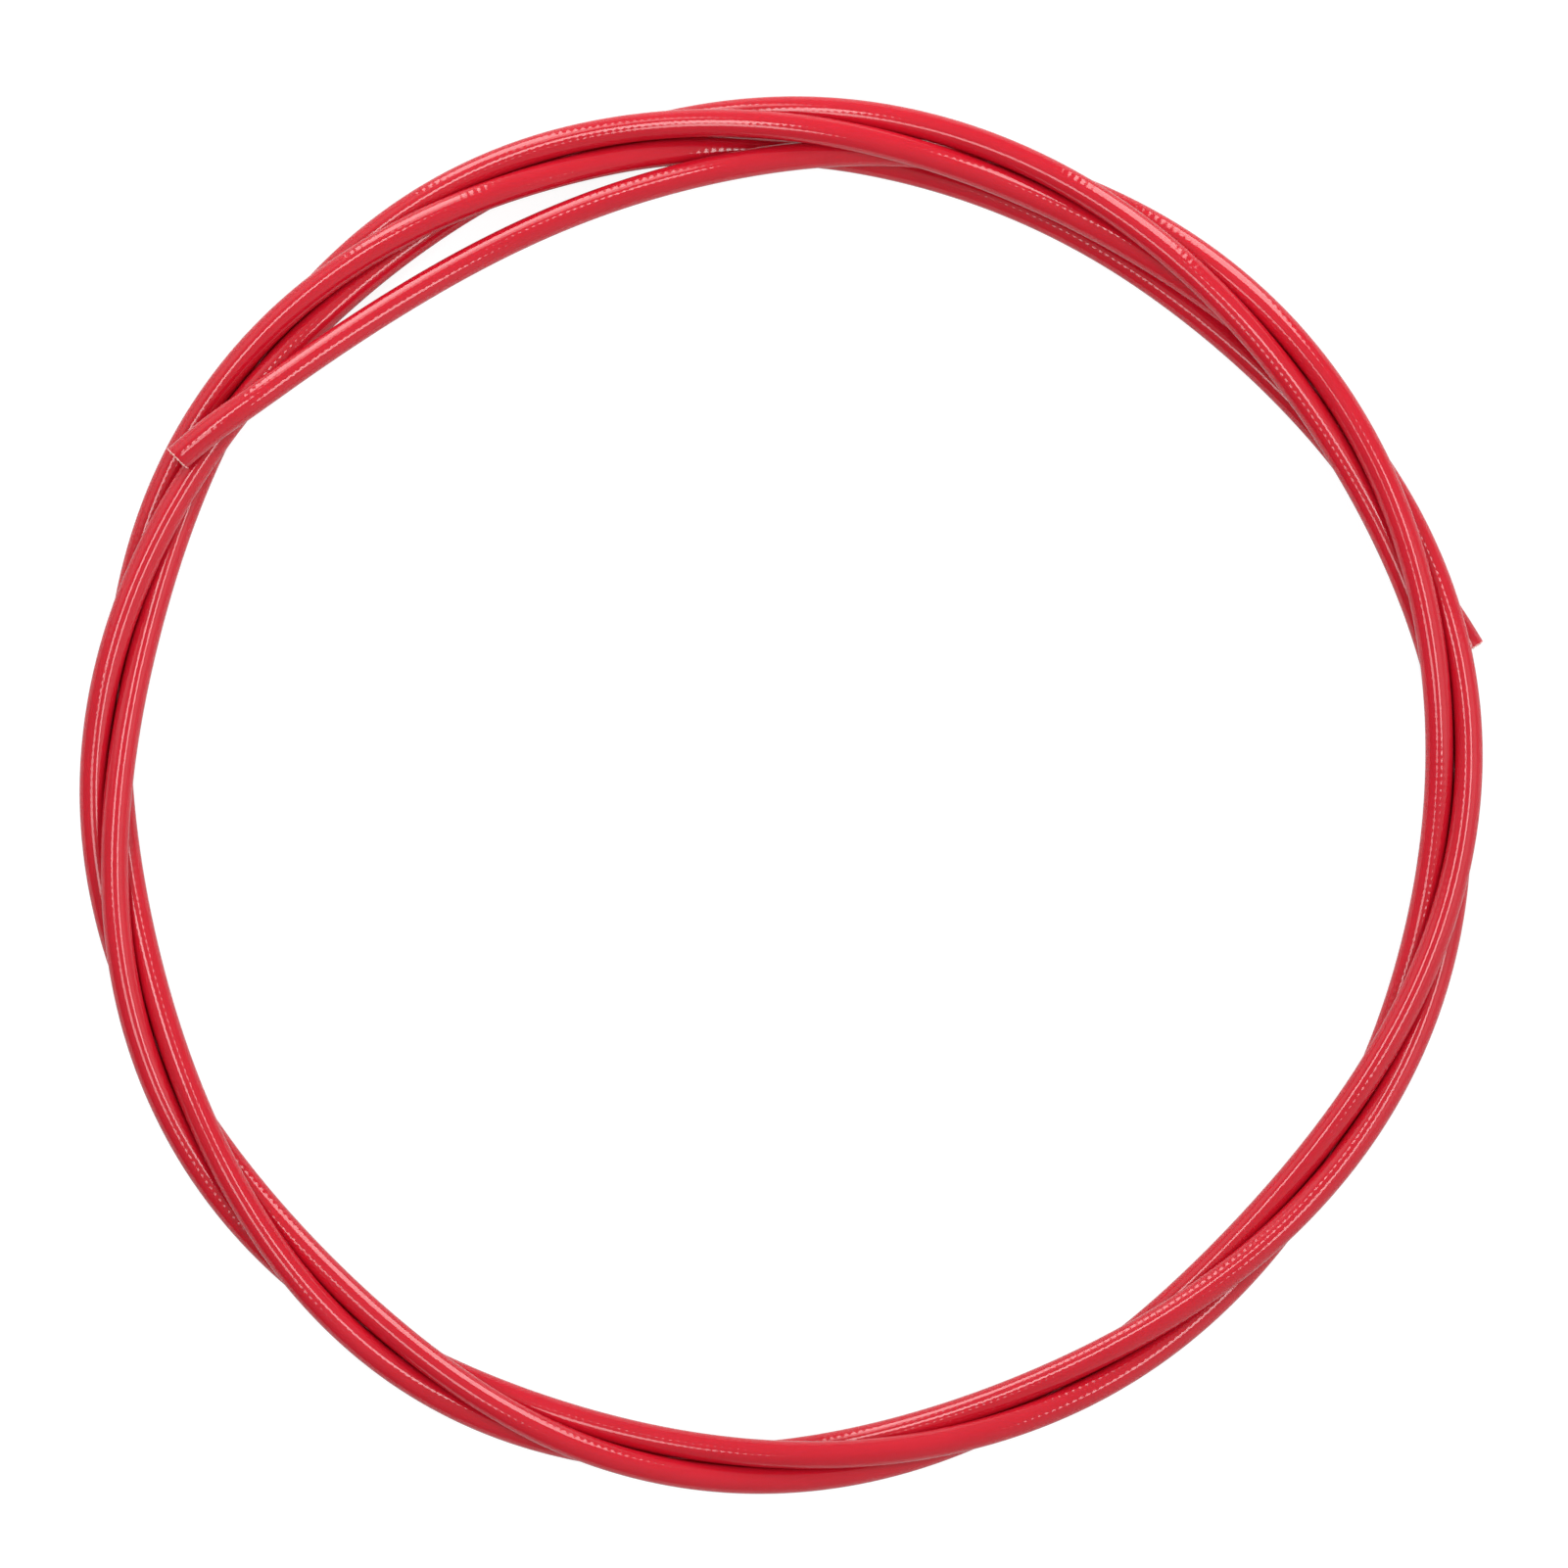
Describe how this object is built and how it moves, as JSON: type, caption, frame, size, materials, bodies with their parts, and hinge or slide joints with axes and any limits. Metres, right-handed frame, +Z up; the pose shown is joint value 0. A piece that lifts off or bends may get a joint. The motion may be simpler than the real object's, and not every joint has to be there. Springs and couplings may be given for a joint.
{
  "type": "coiled braided hose",
  "caption": "Coil of small-bore hose with a glossy jacket over a woven braid and a smooth liner, its turns twisted round each other, both ends cut square and left bare.",
  "frame": {"origin": "middle of the coil's outline, on the surface that the coil lies on", "axes": "+Z up out of the coil; +X and +Y in its plane, with the first cut end at -X +Y and the last at +X"},
  "size_m": [0.254, 0.2526, 0.0162],
  "materials": {
    "jacket_polyurethane": "glossy red, the braid just showing through as fine relief",
    "braid_yarn": "woven pale yarn",
    "liner_nylon": "smooth, natural off-white"
  },
  "bodies": {
    "root": {"outer_jacket": "jacket_polyurethane", "reinforcement_braid": "braid_yarn", "inner_liner": "liner_nylon"}
  },
  "joints": []
}
